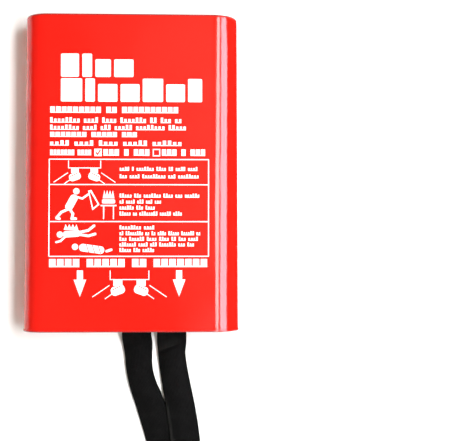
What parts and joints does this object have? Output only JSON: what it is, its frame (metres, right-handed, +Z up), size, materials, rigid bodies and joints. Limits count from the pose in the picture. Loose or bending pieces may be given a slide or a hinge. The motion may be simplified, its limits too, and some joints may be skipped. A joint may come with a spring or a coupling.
{
  "type": "fire blanket",
  "caption": "Folded glass-cloth fire blanket in a red hard case with a keyhole for a wall screw and black pull tapes that hang below the open mouth.",
  "frame": {"origin": "centre of the keyhole's round entry, on the flat back of the case", "axes": "+Z up along the case's height, +Y out of the back towards the wall, +X to the right for a person facing the front"},
  "size_m": [0.1608, 0.0354, 0.424],
  "materials": {
    "case_red": "glossy moulded",
    "print_white": "screen-print ink",
    "glass_cloth": "woven glass",
    "hem_thread": "twisted thread",
    "tape_black": "woven webbing",
    "tape_thread": "twisted thread"
  },
  "bodies": {
    "case": {"case": "case_red", "front_print": "print_white"},
    "blanket": {"blanket": "glass_cloth", "blanket_hem_thread": "hem_thread", "left_tape_tail": "tape_black", "right_tape_tail": "tape_black", "left_tape_seam": "tape_thread", "right_tape_seam": "tape_thread"},
    "left_tape": {"left_pull_tape": "tape_black", "left_tape_end_seam": "tape_thread"},
    "right_tape": {"right_pull_tape": "tape_black", "right_tape_end_seam": "tape_thread"}
  },
  "joints": [
    {"name": "blanket_pull", "type": "slide", "parent": "case", "child": "blanket", "axis": [0, 0, -1], "range_m": [0, 0.26]},
    {"name": "right_tape_swing", "type": "hinge", "parent": "blanket", "child": "right_tape", "pos_m": [0, -0.00595, -0.2087], "axis": [-1, 0, 0], "range_deg": [0, 90]},
    {"name": "left_tape_swing", "type": "hinge", "parent": "blanket", "child": "left_tape", "pos_m": [0, -0.00595, -0.2087], "axis": [-1, 0, 0], "range_deg": [0, 90]}
  ],
  "couplings": [
    {"joint": "left_tape_swing", "follows": "right_tape_swing", "ratio": 1}
  ]
}
